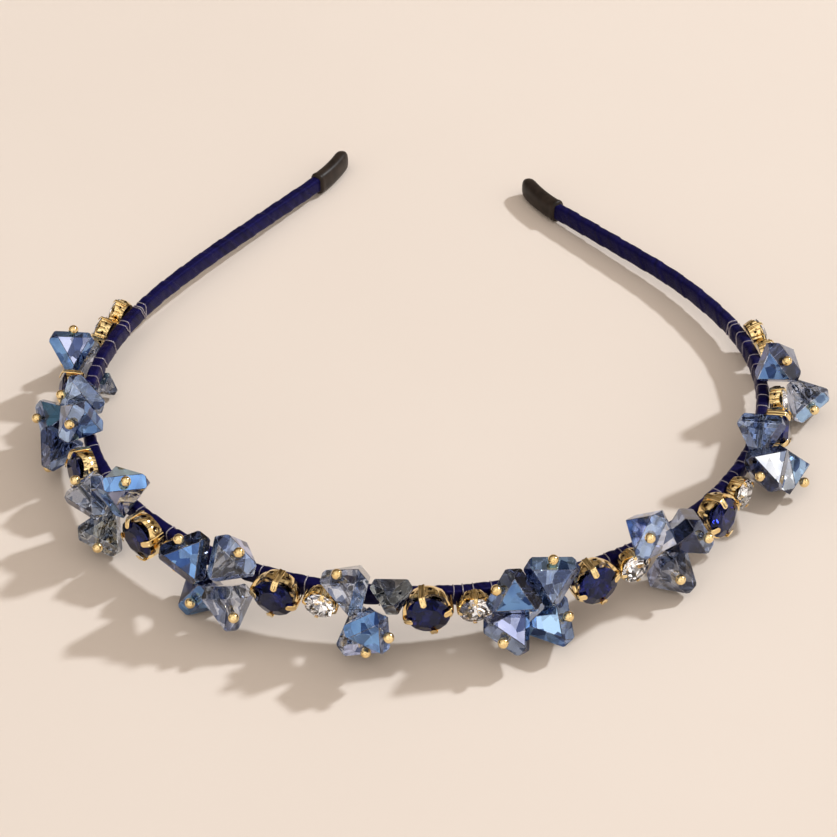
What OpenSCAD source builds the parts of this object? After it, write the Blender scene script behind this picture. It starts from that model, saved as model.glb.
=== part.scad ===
// Crystal headband, modelled lying on its side as it rests on a floor.
// Units are millimetres and +Z is up. The front of the band is at -Y and its two tips are at +Y.
// Every piece is first built in the plane of the band, then the whole part is tipped
// a little, so that it lies on its lowest crystals and on its tips.

/* [Band] */
// Height of the band as it lies
band_h = 3.4; // [2.8:0.1:4.2]
// Thickness of the band
band_t = 2.2; // [1.8:0.1:2.6]
// Corner radius of the band
band_r = 0.5; // [0.2:0.05:0.5]
// Length of the left leg along the band, up to its rubber tip
left_l = 196; // [150:1:205]
// Length of the right leg along the band, up to its rubber tip
right_l = 174; // [150:1:205]

/* [Tips] */
// Length of a rubber tip without its round end
tip_l = 12; // [9:0.5:16]
// Height of a rubber tip as it lies
tip_h = 5; // [4.6:0.1:5.6]
// Thickness of a rubber tip
tip_t = 3.4; // [3.2:0.1:4]
// How far a tip turns outward, in degrees
tip_turn = 20; // [5:1:35]

/* [Glass nuggets] */
// Size of every nugget against its own row in the table
nugget_scale = 1; // [0.85:0.01:1]
// Depth of the four large corner cuts, against half the width of the nugget
big_cut = 1.57; // [1.3:0.01:1.7]
// Depth of the four small corner cuts, against half the width of the nugget
small_cut = 2.6; // [2.4:0.05:2.8]
// Bore through a nugget for its line
bore_d = 1; // [0.8:0.1:1.2]

/* [Gold beads] */
// Diameter of a gold bead
bead_d = 2; // [1.6:0.1:2.2]
// Hole through a gold bead
bead_hole = 0.5; // [0.3:0.1:0.8]

/* [Navy stones] */
// Radius of a navy stone at its girdle
navy_r = 3.9; // [3.4:0.1:4]
// Outer radius of a navy stone's cup
navy_cup_r = 4.5; // [4.3:0.1:4.6]
// Height of a navy stone's cup
navy_cup_h = 3.3; // [3:0.1:3.6]

/* [Clear stones] */
// Radius of a clear stone at its girdle
clear_r = 2.8; // [2.4:0.1:2.9]
// Outer radius of a clear stone's cup
clear_cup_r = 3.2; // [3.1:0.1:3.3]
// Height of a clear stone's cup
clear_cup_h = 2.5; // [2.2:0.1:2.8]

/* [Hidden] */
$fa = 8;
$fs = 0.35;
gap = 0.2;

// Shape of each leg: distance along it from the front, heading in degrees.
// Between two rows the heading changes evenly, so a leg is a chain of round arcs.
bend_left = [
  [0, 0], [30, 23.5], [60, 48], [90, 78.5], [120, 110], [145, 127], [165, 131], [210, 131.5]
];
bend_right = [
  [0, 0], [30, 23.5], [60, 48], [90, 77], [120, 112], [145, 127], [165, 127.5], [210, 129]
];

// How the part lies on the floor: tip about X, roll about Y, then to the side, back and up.
lie_tip = -2.59;
lie_roll = 0.98;
lie_side = -0.99;
lie_back = -69.93;
lie_up = 9.1;

// Glass nuggets: distance along the band (the left side is negative), out from its middle line,
// up from it, tip of the bore above level, lean along the band, spin about the bore,
// half width, bead at the bore (1) or none (0).
a1 = [-113.2, 5.3, 4.3, 100, -15, 70, 3.3, 1];
a2 = [-118.5, 5.9, -1.6, 0, 60, 80, 3.1, 1];
a3 = [-112.3, -1.3, -3.8, 90, 0, -45, 1.8, 0];
b1 = [-96.2, 0.4, 5.5, 25, 10, 60, 3.4, 1];
b2 = [-97.7, 6.3, -0.7, 30, 20, 120, 3.3, 1];
b3 = [-88.7, 1.8, 6, 45, 50, 60, 3.4, 1];
b4 = [-90.2, 6.4, -1.5, -55, 10, 160, 3.3, 1];
c1 = [-71.3, 5.7, 2.4, 60, -30, 20, 3.3, 1];
c2 = [-65.7, 2.2, 6.3, 85, 35, 20, 3.6, 1];
c3 = [-68.7, 5.9, -4.6, 0, 50, 100, 3.4, 1];
d1 = [-45.4, 6, 5, 75, -10, 0, 3.5, 1];
d2 = [-38.3, 3.3, 5.3, 70, 35, 120, 3.5, 1];
d3 = [-44.8, 3.7, -5.5, 10, 5, 10, 3.5, 1];
d4 = [-37.2, 7.1, -1.8, 5, 40, 40, 3.4, 1];
e1 = [-16.7, 3.6, 5.1, 70, -25, 130, 3.5, 1];
e2 = [-12.5, 9.5, 0.9, 10, 55, 50, 3.2, 1];
e3 = [-14.7, 5.8, -4.7, 0, 20, 130, 3.4, 1];
e4 = [-9.7, 4.1, 4, 60, 40, 0, 2.7, 0];
f1 = [10.5, 5.8, 4.7, 60, -50, 170, 3.5, 1];
f2 = [17.5, 4.1, 5.2, 80, 0, 120, 3.6, 1];
f3 = [9.5, 7.2, -2.7, 10, -25, 100, 3.5, 1];
f4 = [17.4, 6.1, -4.2, 50, 25, 40, 3.5, 1];
g1 = [36.8, 4, 7.2, 40, -35, 0, 3.6, 1];
g2 = [44.8, 4.8, 3.5, 15, 10, 70, 3.5, 1];
g3 = [41.4, 5, -3.6, 20, -20, 80, 3.5, 1];
h1 = [68.4, 5.4, 3, 75, -75, 25, 3.4, 1];
h2 = [74.2, 7.2, -1.6, -20, -5, 140, 3.5, 1];
h3 = [75, 1.5, 5.3, 90, 0, 60, 3.3, 0];
i1 = [93.6, 8.9, -1.1, 35, -70, 140, 3.3, 1];
j1 = [95.4, 2.7, 6.5, 70, -45, 10, 3.5, 1];
nuggets = [
  a1, a2, a3, b1, b2, b3, b4, c1, c2, c3, d1, d2, d3, d4, e1,
  e2, e3, e4, f1, f2, f3, f4, g1, g2, g3, h1, h2, h3, i1, j1
];

// Navy stones: distance along the band, lift of the stone's face above level,
// turn of the cup's claws about the stone.
navy = [
  [-105, 5, 10], [-81, 5, 10], [-59, 0, 20], [-30, 0, -10],
  [-3.5, 0, 15], [26, 5, 15], [54.5, 10, 10], [83, 5, 10]
];

// Clear stones: distance along the band, lift of the stone's face above level,
// turn of the cup's claws about the stone.
clear = [
  [-131, 10, 0], [-124.2, 10, 15], [-51, -5, 10], [-22, -5, -15], [4.5, -5, 0],
  [34, 5, 10], [62.5, 5, 10], [91, 10, 0], [105.5, 15, 0], [112.2, 15, 15]
];

// Radius of the arc between two rows of the bend table.
function arc_r(a, b) = (b[0] - a[0]) / ((b[1] - a[1]) * PI / 180);
// Bend table of the leg that distance s lies on.
function leg(s) = s < 0 ? bend_left : bend_right;
// Place of row i of bend table t in the plane of the band.
function knot(i, t) = i == 0 ? [0, 0] :
  let (a = t[i - 1], b = t[i], r = arc_r(a, b))
  knot(i - 1, t) + r * [sin(b[1]) - sin(a[1]), cos(a[1]) - cos(b[1])];
// Row of bend table t before distance q.
function row(q, t, i = 0) = i >= len(t) - 2 || q <= t[i + 1][0] ? i : row(q, t, i + 1);
// Place at distance q on a leg bent like table t, as if it were the right leg.
function spot(q, t) =
  let (i = row(q, t), a = t[i], r = arc_r(a, t[i + 1]), h = lookup(q, t))
  knot(i, t) + r * [sin(h) - sin(a[1]), cos(a[1]) - cos(h)];
// Distance from the band's middle line to the seat of a cup with this lift.
function seat(lift) = band_t / 2 * cos(lift) + 0.4 * band_h * abs(sin(lift)) + gap;

// Lays the finished part on the floor.
module lie() translate([lie_side, lie_back, lie_up]) rotate([lie_tip, lie_roll, 0]) children();

// Frame on the band at distance s: X runs along the band, -Y points out, Z is up.
module on_band(s) {
  p = spot(abs(s), leg(s));
  translate([s < 0 ? -p[0] : p[0], p[1], 0])
    rotate([0, 0, sign(s) * lookup(abs(s), leg(s))]) children();
}

// Place and heading at signed distance s on a leg of length l, bent like table t,
// with a turned tip beyond it.
function place(s, l, t) =
  let (
    q = abs(s), side = s < 0 ? -1 : 1, from = lookup(l, t), r = tip_l / (tip_turn * PI / 180),
    h = q <= l ? lookup(q, t) : from - tip_turn * (q - l) / tip_l,
    p = q <= l ? spot(q, t) : spot(l, t) + r * [sin(from) - sin(h), cos(h) - cos(from)]
  )
  [side * p[0], p[1], side * h];

// Rounded rectangle as points [out, up].
function round_rect(t, h, r) = [
  for (c = [0 : 3]) for (k = [0 : 3]) let (a = 90 * c + 30 * k) [
    (c == 0 || c == 3 ? 1 : -1) * (t / 2 - r) + r * cos(a),
    (c < 2 ? 1 : -1) * (h / 2 - r) + r * sin(a)
  ]
];

// Solid through a row of sections. Each ring is [x, y, heading, size out, size up].
module sweep(rings, shape) {
  n = len(shape);
  m = len(rings);
  points = [
    for (g = rings) for (q = shape)
      [g[0] + q[0] * g[3] * sin(g[2]), g[1] - q[0] * g[3] * cos(g[2]), q[1] * g[4]]
  ];
  sides = [
    for (i = [0 : m - 2]) for (j = [0 : n - 1]) let (k = (j + 1) % n)
      for (t = [[i * n + j, i * n + k, i * n + n + k], [i * n + j, i * n + n + k, i * n + n + j]]) t
  ];
  near = [for (j = [0 : n - 1]) n - 1 - j];
  far = [for (j = [0 : n - 1]) (m - 1) * n + j];
  polyhedron(points, concat(sides, [near, far]), convexity = 4);
}

// Rubber tip: a sleeve over the end of the leg, with a round end.
module rubber_tip(l, t) {
  difference() {
    sweep(
      concat(
        [for (k = [0 : 6]) concat(place(l + tip_l * k / 6, l, t), [1, 1])],
        [for (a = [25, 50, 70, 84]) concat(
          place(l + tip_l + sin(a) * tip_t / 2, l, t), [cos(a), 1 - (1 - cos(a)) * tip_t / tip_h]
        )]
      ),
      round_rect(tip_t, tip_h, 1)
    );
    sweep(
      [for (k = [-1 : 6]) concat(place(l + 0.9 * tip_l * k / 6, l, t), [1, 1])],
      round_rect(band_t + gap, band_h + gap, band_r)
    );
  }
}

// Half space beyond one corner of the cube of half width b, cut at this depth.
module corner(turn, fall, cut, b)
  rotate([0, fall, turn]) translate([-2 * b, -2 * b, cut * b / sqrt(3)]) cube(4 * b);

// Middle of a nugget, with Z along its bore.
module nugget_frame(row)
  on_band(row[0]) translate([0, -row[1], row[2]])
    rotate([90 - row[3], 0, 0]) rotate([0, row[4], 0]) rotate([0, 0, row[5]]) children();

// Cube with four large and four small corner cuts, drilled along its bore.
module nugget(row) {
  b = row[6] * nugget_scale;
  nugget_frame(row) difference() {
    cube(2 * b, center = true);
    for (turn = [45, 225]) {
      corner(turn, 54.736, small_cut, b);
      corner(turn, 125.264, big_cut, b);
    }
    for (turn = [135, 315]) {
      corner(turn, 54.736, big_cut, b);
      corner(turn, 125.264, small_cut, b);
    }
    translate([0, 0, -2 * b]) cylinder(d = bore_d, h = 4 * b);
  }
}

// Bead at the mouth of a nugget's bore, drilled sideways for the line.
module bead(row)
  nugget_frame(row) translate([0, 0, row[6] * nugget_scale + bead_d / 2]) difference() {
    sphere(d = bead_d);
    rotate([90, 0, 0]) cylinder(d = bead_hole, h = 2 * bead_d, center = true);
  }

// Foot of a cup on the band, with Z along the axis of the stone.
module seat_frame(row)
  on_band(row[0]) rotate([90 - row[1], 0, 0]) translate([0, 0, seat(row[1])]) children();

// Round bar from point a to point b, both given as [out, up], with a ball at b.
module bar(a, b, r) {
  l = norm(b - a);
  translate([a[0], 0, a[1]]) rotate([0, atan2(b[0] - a[0], b[1] - a[1]), 0]) {
    cylinder(r = r, h = l);
    translate([0, 0, l]) sphere(1.06 * r);
  }
}

// Cup with a lobed wall, eight small side holes and four claws that reach over the stone.
module cup(r, bore, h, lobes, claw) {
  difference() {
    linear_extrude(h) {
      circle(r - 0.3);
      for (k = [0 : lobes - 1]) rotate(k * 360 / lobes) translate([r - 0.8, 0]) circle(0.8);
    }
    translate([0, 0, 0.5]) cylinder(r = bore, h = h);
    translate([0, 0, -1]) cylinder(r = bore - 1, h = h);
    for (k = [0 : lobes - 1]) if ((k + 0.5) * 360 / lobes % 90 != 45)
      rotate([0, 90, (k + 0.5) * 360 / lobes]) translate([-0.45 * h, 0, bore - 0.5]) cylinder(d = 0.7, h = 3);
  }
  for (k = [0 : 3]) rotate([0, 0, 45 + 90 * k]) {
    bar([r - 0.05, 0.3], [r - 0.05, h + 0.85], claw);
    bar([r - 0.05, h + 0.85], [0.62 * r, h + 0.4 * r], claw);
  }
}

// Stone with a flat table, twelve crown facets and twelve pavilion facets.
module cut_stone(r, depth, girdle, crown, table) {
  translate([0, 0, -depth]) cylinder(r1 = 0.3, r2 = r, h = depth, $fn = 12);
  cylinder(r = r, h = girdle, $fn = 12);
  translate([0, 0, girdle]) cylinder(r1 = r, r2 = table, h = crown, $fn = 12);
}

module navy_stone(row) color([0.05, 0.06, 0.16]) lie()
  seat_frame(row) translate([0, 0, navy_cup_h + 0.1]) cut_stone(navy_r, 2.3, 0.3, 0.8, 2.3);
module navy_cup(row) color([0.85, 0.66, 0.3]) lie()
  seat_frame(row) rotate([0, 0, row[2] - 45])
    cup(navy_cup_r, navy_r - 0.1, navy_cup_h, 8, 0.45);

module band() color([0.09, 0.08, 0.25]) lie() {
  from = -left_l - 0.8 * tip_l;
  to = right_l + 0.8 * tip_l;
  sweep(
    [for (k = [0 : 96]) let (s = from + (to - from) * k / 96)
      concat(place(s, s < 0 ? left_l : right_l, leg(s)), [1, 1])],
    round_rect(band_t, band_h, band_r)
  );
}
module tip_left() color([0.08, 0.06, 0.06]) lie() mirror([1, 0, 0]) rubber_tip(left_l, bend_left);
module tip_right() color([0.08, 0.06, 0.06]) lie() rubber_tip(right_l, bend_right);
module gold_beads() color([0.9, 0.7, 0.3]) lie() for (row = nuggets) if (row[7] > 0) bead(row);
module clear_cups() color([0.85, 0.66, 0.3]) lie()
  for (row = clear) seat_frame(row) rotate([0, 0, row[2] - 45])
    cup(clear_cup_r, clear_r - 0.1, clear_cup_h, 8, 0.28);
module clear_stones() color([0.92, 0.92, 0.95]) lie()
  for (row = clear) seat_frame(row) translate([0, 0, clear_cup_h + 0.1])
    cut_stone(clear_r, 1.6, 0.2, 0.6, 1.6);

module nugget_a1() color([0.35, 0.48, 0.68]) lie() nugget(a1);
module nugget_a2() color([0.35, 0.48, 0.68]) lie() nugget(a2);
module nugget_a3() color([0.35, 0.48, 0.68]) lie() nugget(a3);
module nugget_b1() color([0.3, 0.36, 0.5]) lie() nugget(b1);
module nugget_b2() color([0.3, 0.36, 0.5]) lie() nugget(b2);
module nugget_b3() color([0.3, 0.36, 0.5]) lie() nugget(b3);
module nugget_b4() color([0.3, 0.36, 0.5]) lie() nugget(b4);
module nugget_c1() color([0.42, 0.52, 0.6]) lie() nugget(c1);
module nugget_c2() color([0.42, 0.52, 0.6]) lie() nugget(c2);
module nugget_c3() color([0.42, 0.52, 0.6]) lie() nugget(c3);
module nugget_d1() color([0.32, 0.42, 0.62]) lie() nugget(d1);
module nugget_d2() color([0.32, 0.42, 0.62]) lie() nugget(d2);
module nugget_d3() color([0.32, 0.42, 0.62]) lie() nugget(d3);
module nugget_d4() color([0.32, 0.42, 0.62]) lie() nugget(d4);
module nugget_e1() color([0.55, 0.58, 0.64]) lie() nugget(e1);
module nugget_e2() color([0.55, 0.58, 0.64]) lie() nugget(e2);
module nugget_e3() color([0.55, 0.58, 0.64]) lie() nugget(e3);
module nugget_e4() color([0.55, 0.58, 0.64]) lie() nugget(e4);
module nugget_f1() color([0.36, 0.44, 0.62]) lie() nugget(f1);
module nugget_f2() color([0.36, 0.44, 0.62]) lie() nugget(f2);
module nugget_f3() color([0.36, 0.44, 0.62]) lie() nugget(f3);
module nugget_f4() color([0.36, 0.44, 0.62]) lie() nugget(f4);
module nugget_g1() color([0.38, 0.44, 0.56]) lie() nugget(g1);
module nugget_g2() color([0.38, 0.44, 0.56]) lie() nugget(g2);
module nugget_g3() color([0.38, 0.44, 0.56]) lie() nugget(g3);
module nugget_h1() color([0.3, 0.36, 0.52]) lie() nugget(h1);
module nugget_h2() color([0.3, 0.36, 0.52]) lie() nugget(h2);
module nugget_h3() color([0.3, 0.36, 0.52]) lie() nugget(h3);
module nugget_i1() color([0.56, 0.64, 0.66]) lie() nugget(i1);
module nugget_j1() color([0.26, 0.34, 0.5]) lie() nugget(j1);
module navy_stone_1() navy_stone(navy[0]);
module navy_cup_1() navy_cup(navy[0]);
module navy_stone_2() navy_stone(navy[1]);
module navy_cup_2() navy_cup(navy[1]);
module navy_stone_3() navy_stone(navy[2]);
module navy_cup_3() navy_cup(navy[2]);
module navy_stone_4() navy_stone(navy[3]);
module navy_cup_4() navy_cup(navy[3]);
module navy_stone_5() navy_stone(navy[4]);
module navy_cup_5() navy_cup(navy[4]);
module navy_stone_6() navy_stone(navy[5]);
module navy_cup_6() navy_cup(navy[5]);
module navy_stone_7() navy_stone(navy[6]);
module navy_cup_7() navy_cup(navy[6]);
module navy_stone_8() navy_stone(navy[7]);
module navy_cup_8() navy_cup(navy[7]);

band();
tip_left();
tip_right();
navy_cup_1();
navy_cup_2();
navy_cup_3();
navy_cup_4();
navy_cup_5();
navy_cup_6();
navy_cup_7();
navy_cup_8();
navy_stone_1();
navy_stone_2();
navy_stone_3();
navy_stone_4();
navy_stone_5();
navy_stone_6();
navy_stone_7();
navy_stone_8();
clear_cups();
clear_stones();
nugget_a1();
nugget_a2();
nugget_a3();
nugget_b1();
nugget_b2();
nugget_b3();
nugget_b4();
nugget_c1();
nugget_c2();
nugget_c3();
nugget_d1();
nugget_d2();
nugget_d3();
nugget_d4();
nugget_e1();
nugget_e2();
nugget_e3();
nugget_e4();
nugget_f1();
nugget_f2();
nugget_f3();
nugget_f4();
nugget_g1();
nugget_g2();
nugget_g3();
nugget_h1();
nugget_h2();
nugget_h3();
nugget_i1();
nugget_j1();
gold_beads();
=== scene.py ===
# %% [markdown]
# # A crystal headband on a pale floor
# The core of a narrow headband is wound with navy ribbon. Glass nuggets, cut stones in gold cups
# and small gold beads are tied on along its front. Here it lies on its side.
#
# It could be sculpted, or its stones scattered as particles. Here every surface comes from a
# formula or is ground with planes, because jewellery is a few exact shapes that repeat, and a
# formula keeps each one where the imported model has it. Shapes are made in millimetres in the
# plane of the band, and `lay` puts them on the floor in metres.

# %% Load the frame
import bpy
import bmesh
import math
import numpy as np
from collections import namedtuple
from mathutils import Matrix, Vector


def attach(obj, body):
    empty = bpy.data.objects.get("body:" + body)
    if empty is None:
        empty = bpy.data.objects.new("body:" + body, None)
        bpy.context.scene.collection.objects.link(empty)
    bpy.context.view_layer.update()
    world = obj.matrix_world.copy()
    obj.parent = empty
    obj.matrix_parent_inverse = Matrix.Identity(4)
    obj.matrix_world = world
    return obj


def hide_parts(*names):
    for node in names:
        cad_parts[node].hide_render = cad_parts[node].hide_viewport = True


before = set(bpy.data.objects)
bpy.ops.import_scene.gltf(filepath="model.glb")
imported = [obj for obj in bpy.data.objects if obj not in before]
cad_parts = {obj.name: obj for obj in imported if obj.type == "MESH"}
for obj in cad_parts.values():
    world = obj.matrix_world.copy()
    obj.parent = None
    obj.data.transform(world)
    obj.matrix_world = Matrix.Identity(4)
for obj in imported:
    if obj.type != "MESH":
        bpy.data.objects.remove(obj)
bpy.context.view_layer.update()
scene = bpy.context.scene

# %% [markdown]
# ## The camera
# The photograph looks down on the headband at about 40 degrees, from a little left of its middle,
# through a long lens. A camera can be aimed by eye or with a Track To constraint. Here its three
# directions are worked out, because the photograph's small roll is then one number.

# %% Make the camera
EYE = Vector((-0.01612, -0.31919, 0.27034))
AIM = Vector((-0.0028, -0.01896, 0.00682))
ROLL = math.radians(-1.92)
LENS, SENSOR = 86.5, 36

back = (EYE - AIM).normalized()
level = Vector((0, 0, 1)).cross(back).normalized()
upright = back.cross(level)
right = level * math.cos(ROLL) + upright * math.sin(ROLL)
up = upright * math.cos(ROLL) - level * math.sin(ROLL)
camera = bpy.data.objects.new("camera", bpy.data.cameras.new("camera"))
scene.collection.objects.link(camera)
axes = Matrix((right, up, back)).transposed().to_4x4()
camera.matrix_world = Matrix.Translation(EYE) @ axes
camera.data.lens = LENS
camera.data.sensor_width = SENSOR
camera.data.dof.use_dof = False
scene.camera = camera
print("camera stands", round((EYE - AIM).length, 3), "m away")

# %% [markdown]
# ## The curve of the band
# The band is a springy strip, bent into a loop. It could be drawn as a curve object. Here a short
# table of headings is used: the heading changes evenly from column to column, so each leg is a
# chain of round arcs, which is how a strip bends. Past its end a leg turns outward inside its
# rubber tip. x is to the right, y to the back and z up from the plane.

# %% Walk along the band
BEND_AT = [0, 30, 60, 90, 120, 145, 165, 210]
HEADINGS = {-1: [0, 23.5, 48, 78.5, 110, 127, 131, 131.5],
            1: [0, 23.5, 48, 77, 112, 127, 127.5, 129]}
LEFT, RIGHT = 196, 174
TIP_LENGTH, TIP_TURN = 12, 20
STEP, SPARE = 0.05, 4
BAND_T, BAND_H = 2.2, 3.4


def walk(leg, headings):
    """Distance, x, y and heading along one leg. The heading is read from the table, and in the
    tip it turns back evenly. The place is the running sum of the cosine and the sine of the
    heading halfway through each step, times the step."""
    q = np.arange(0, leg + TIP_LENGTH + SPARE, STEP)
    in_tip = np.interp(leg, BEND_AT, headings) - TIP_TURN * (q - leg) / TIP_LENGTH
    heading = np.radians(np.where(q <= leg, np.interp(q, BEND_AT, headings), in_tip))
    halfway = (heading[1:] + heading[:-1]) / 2
    x = np.r_[0, np.cumsum(np.cos(halfway)) * STEP]
    y = np.r_[0, np.cumsum(np.sin(halfway)) * STEP]
    return q, x, y, heading


LEGS = {-1: walk(LEFT, HEADINGS[-1]), 1: walk(RIGHT, HEADINGS[1])}


def on_band(s):
    """Middle of the band, direction along it and outward, at signed distances s from the front,
    below zero on the left. Outward is along, turned a quarter turn clockwise."""
    s = np.atleast_1d(np.asarray(s, float))
    mid, along = np.zeros((len(s), 3)), np.zeros((len(s), 3))
    for side, (q, x, y, heading) in LEGS.items():
        k = (s < 0) if side < 0 else (s >= 0)
        a = abs(s[k])
        h = side * np.interp(a, q, heading)
        mid[k, 0], mid[k, 1] = side * np.interp(a, q, x), np.interp(a, q, y)
        along[k, 0], along[k, 1] = np.cos(h), np.sin(h)
    out = np.stack([along[:, 1], -along[:, 0], np.zeros(len(s))], 1)
    return mid, along, out


print("legs of", LEFT, "and", RIGHT, "mm")

# %% [markdown]
# ## How the headband lies
# A headband that is laid down rests on a few stones and one tip, so its plane leans a little. The
# objects could be turned at the end. Here the lean and the move go into the points, because every
# piece has to sit at the origin, where its patterns on Object coordinates stay in place.

# %% Lay it on the floor
UP = np.array([0.0, 0.0, 1.0])
LEAN_BACK, LEAN_SIDE = -2.59, 0.98
LIE_MOVE = np.array([-0.99, -69.93, 9.1])
MM = 0.001


def turn(axis, degrees):
    """Matrix of a turn round one axis: the cosine of the angle on the two other axes, and its
    sine between them, once with a minus sign."""
    a, b = math.cos(math.radians(degrees)), math.sin(math.radians(degrees))
    return np.array({"x": [[1, 0, 0], [0, a, -b], [0, b, a]],
                     "y": [[a, 0, b], [0, 1, 0], [-b, 0, a]],
                     "z": [[a, -b, 0], [b, a, 0], [0, 0, 1]]}[axis])


LIE = turn("y", LEAN_SIDE) @ turn("x", LEAN_BACK)


def lay(points):
    """From the plane of the band in millimetres to the floor in metres: the points turned by the
    lean, plus the move, times a thousandth."""
    return (np.asarray(points) @ LIE.T + LIE_MOVE) * MM


print("the plane leans back by", -LEAN_BACK, "degrees")

# %% [markdown]
# ## Tools for meshes
# Real pieces are wound, moulded, pressed or ground, but in Blender each is points and faces. They
# could be menu shapes with modifiers. Here they come as whole arrays, which a formula can give,
# and `make` turns those into a piece that rides on the part and stands for its CAD node.

# %% Make a piece
def new_object(name, points, faces):
    """An object of points and faces, in the scene."""
    mesh = bpy.data.meshes.new(name)
    mesh.from_pydata(np.asarray(points, float).tolist(), [], [list(map(int, f)) for f in faces])
    o = bpy.data.objects.new(name, mesh)
    scene.collection.objects.link(o)
    return o


def make(name, points, faces, material, slot, nodes=(), smooth=False, colours=None, uv=None):
    """One piece from points and faces. Each point goes to lay(point). colours are values for
    each face, and uv is one pair for each point."""
    piece = new_object(name, lay(points), faces)
    mesh = piece.data
    for key, values in (colours or {}).items():
        layer = mesh.attributes.new(key, "FLOAT_COLOR", "FACE")
        layer.data.foreach_set("color", np.asarray(values, np.float32).ravel())
    if uv is not None:
        layer = mesh.uv_layers.new(name="surface")
        corners = np.array([i for p in mesh.polygons for i in p.vertices])
        layer.data.foreach_set("uv", np.asarray(uv, np.float32)[corners].ravel())
    mesh.polygons.foreach_set("use_smooth", np.full(len(mesh.polygons), smooth))
    mesh.materials.append(material)
    mesh.validate()
    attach(piece, "root")
    if nodes:
        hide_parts(*nodes)
    return piece


def joined(parts):
    """Several (points, faces) as one: each part's face numbers are raised by the count of the
    points before it."""
    points, faces, start = [], [], 0
    for p, f in parts:
        points.append(p)
        faces += [[i + start for i in face] for face in f]
        start += len(p)
    return np.vstack(points), faces


# %% [markdown]
# ## Rings and bars
# Ribbon, sleeve, claw and line are long things with one section. A curve object can sweep one, but
# gives little say over its size at each point. So rings of points are worked out along the path,
# and one rule joins ring to ring.

# %% Rings, and bars along a path
GROOVE_WIDTH = 0.5


def angles(n):
    """n angles, evenly round a circle."""
    return np.arange(n) * 2 * math.pi / n


def grid_faces(m, n):
    """Quads of a surface with m rings of n points. Point j of ring i has the number i * n + j,
    and the last point of a ring is joined to its first."""
    return [[i * n + j, i * n + (j + 1) % n, (i + 1) * n + (j + 1) % n, (i + 1) * n + j]
            for i in range(m - 1) for j in range(n)]


def closed_faces(m, n):
    """The same quads, and one face over the first and the last ring."""
    return grid_faces(m, n) + [list(range(n))[::-1], [(m - 1) * n + j for j in range(n)]]


def tube(path, radius, sides=8, flat=1.0, side_axis=(0.31, 0.17, 0.93), groove=0.0):
    """Round bar along a path, with closed ends. A point is the path, plus the radius times the
    cosine of its angle across the side axis, plus the radius times flat times the sine along it.
    A groove thins the middle: the thickness falls by that share times a bell curve."""
    path = np.asarray(path, float)
    radius = np.broadcast_to(np.asarray(radius, float), (len(path),))
    t = np.gradient(path, axis=0)
    t /= np.linalg.norm(t, axis=1)[:, None]
    a = np.cross(t, np.array(side_axis))
    a /= np.linalg.norm(a, axis=1)[:, None]
    b = np.cross(t, a)
    w = angles(sides)
    thick = np.cos(w) * (1 - groove * np.exp(-(np.sin(w) / GROOVE_WIDTH) ** 2))
    rings = (path[:, None] + radius[:, None, None] * (thick[None, :, None] * a[:, None]
             + flat * np.sin(w)[None, :, None] * b[:, None]))
    return rings.reshape(-1, 3), closed_faces(len(path), sides)


print("a ring of 8 has", len(grid_faces(2, 8)), "faces to the next")

# %% [markdown]
# ## Tools for materials
# A real finish has an even quality, such as gloss, and a small unevenness. The first is set on
# the sockets of one Principled shader. The second could be a painted image, but here it comes from
# noise, waves and cells, which stay sharp in a close view.

# %% Tools for materials
def shader(name, colour, **values):
    """A material with one Principled shader. Each value goes onto the shader's own socket of
    that name, where an underscore stands for a space."""
    m = bpy.data.materials.new(name)
    m.use_nodes = True
    b = m.node_tree.nodes["Principled BSDF"]
    b.inputs["Base Color"].default_value = (*colour, 1)
    for key, value in values.items():
        b.inputs[key.replace("_", " ")].default_value = value
    return m, m.node_tree.nodes, m.node_tree.links, b


def node(nodes, kind, **values):
    """A new shader node. A value goes onto the socket of that name, or else onto the setting."""
    n = nodes.new("ShaderNode" + kind)
    for key, value in values.items():
        if key in n.inputs:
            n.inputs[key].default_value = value
        else:
            setattr(n, key, value)
    return n


def on_object(nodes):
    """The place on the piece, in metres from the origin."""
    return node(nodes, "TexCoord").outputs["Object"]


def pattern(nodes, links, kind, place, **values):
    """A node that turns a place into a pattern."""
    n = node(nodes, kind, **values)
    links.new(place, n.inputs["Vector"])
    return n


def ramp(nodes, links, source, stops):
    """A colour for each value: the colours of the two nearest stops, mixed evenly."""
    r = node(nodes, "ValToRGB")
    while len(r.color_ramp.elements) < len(stops):
        r.color_ramp.elements.new(0.5)
    for e, (at, colour) in zip(r.color_ramp.elements, stops):
        e.position, e.color = at, (*colour, 1)
    links.new(source, r.inputs["Fac"])
    return r.outputs["Color"]


def multiply(nodes, links, first, second, share=1.0):
    """A share of the product of two colours, and the rest of the first colour."""
    n = node(nodes, "Mix", data_type="RGBA", blend_type="MULTIPLY", Factor=share)
    links.new(first, n.inputs["A"])
    links.new(second, n.inputs["B"])
    return n.outputs["Result"]


print("materials of the frame:", len(bpy.data.materials))

# %% [markdown]
# ## Satin for the ribbon
# The ribbon is a navy satin, so dark that mostly its sheen shows. Cloth can be drawn thread by
# thread, but these threads are thinner than a tenth of a millimetre. So they are only waves in a
# bump, on the ribbon's own UV map, which follows the winding.

# %% Satin
def bump(nodes, links, shader_node, height, strength, distance):
    """Leans the shader's normal down the slope of a height pattern, distance metres deep."""
    n = node(nodes, "Bump", Strength=strength, Distance=distance)
    links.new(height, n.inputs["Height"])
    links.new(n.outputs["Normal"], shader_node.inputs["Normal"])


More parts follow.
